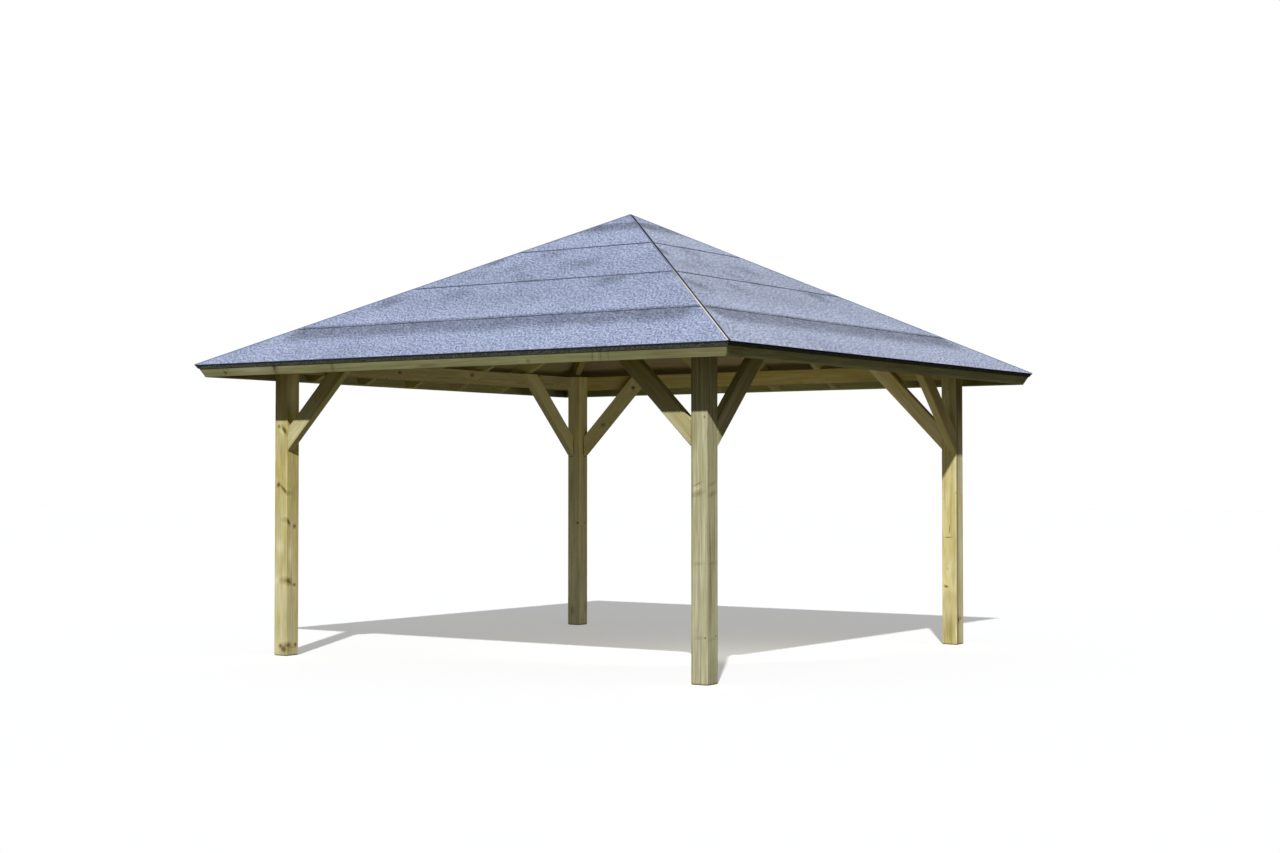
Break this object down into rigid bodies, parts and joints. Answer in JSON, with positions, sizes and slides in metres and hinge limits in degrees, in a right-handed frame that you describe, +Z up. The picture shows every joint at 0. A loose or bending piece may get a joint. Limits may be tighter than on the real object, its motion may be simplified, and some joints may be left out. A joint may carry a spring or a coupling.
{
  "type": "square timber carport pavilion",
  "caption": "Open-sided square carport pavilion: posts, beams and knee braces in softwood under a felted pyramid roof with overhanging eaves.",
  "frame": {"origin": "on the ground at the middle of the square plan, under the roof's peak", "axes": "+Z up, -Y towards the front side and +X towards the right-hand side; the roof's sides run along X and Y"},
  "size_m": [4.32, 4.32, 3.1223],
  "materials": {
    "post_timber": "planed pressure-treated softwood with knots, pale yellow green, matt",
    "frame_timber": "planed pressure-treated softwood, green brown, matt",
    "board_timber": "grooved softwood boards, darker brown, matt",
    "fascia_timber": "planed pressure-treated softwood, grey green, matt",
    "roof_felt": "bitumen felt with blue-grey mineral granules, rough",
    "felt_edge": "bitumen felt edge, near black with fine granules, rough"
  },
  "bodies": {
    "root": {"post_rear_right": "post_timber", "post_rear_left": "post_timber", "post_front_left": "post_timber", "post_front_right": "post_timber", "beam_right": "frame_timber", "beam_rear": "frame_timber", "beam_left": "frame_timber", "beam_front": "frame_timber", "brace_right_rear": "frame_timber", "brace_rear_left": "frame_timber", "brace_left_front": "frame_timber", "brace_front_right": "frame_timber", "brace_right_front": "frame_timber", "brace_rear_right": "frame_timber", "brace_left_rear": "frame_timber", "brace_front_left": "frame_timber", "king_block": "frame_timber", "hip_rafter_rear_right": "frame_timber", "hip_rafter_rear_left": "frame_timber", "hip_rafter_front_left": "frame_timber", "hip_rafter_front_right": "frame_timber", "rafters_right": "frame_timber", "rafters_rear": "frame_timber", "rafters_left": "frame_timber", "rafters_front": "frame_timber", "roof_boards_right": "board_timber", "roof_boards_rear": "board_timber", "roof_boards_left": "board_timber", "roof_boards_front": "board_timber", "fascia_right": "fascia_timber", "fascia_rear": "fascia_timber", "fascia_left": "fascia_timber", "fascia_front": "fascia_timber", "roof_felt_right": "roof_felt", "roof_felt_rear": "roof_felt", "roof_felt_left": "roof_felt", "roof_felt_front": "roof_felt", "drip_strip_right": "felt_edge", "drip_strip_rear": "felt_edge", "drip_strip_left": "felt_edge", "drip_strip_front": "felt_edge", "hip_strip_rear_right": "felt_edge", "hip_strip_rear_left": "felt_edge", "hip_strip_front_left": "felt_edge", "hip_strip_front_right": "felt_edge"}
  },
  "joints": []
}
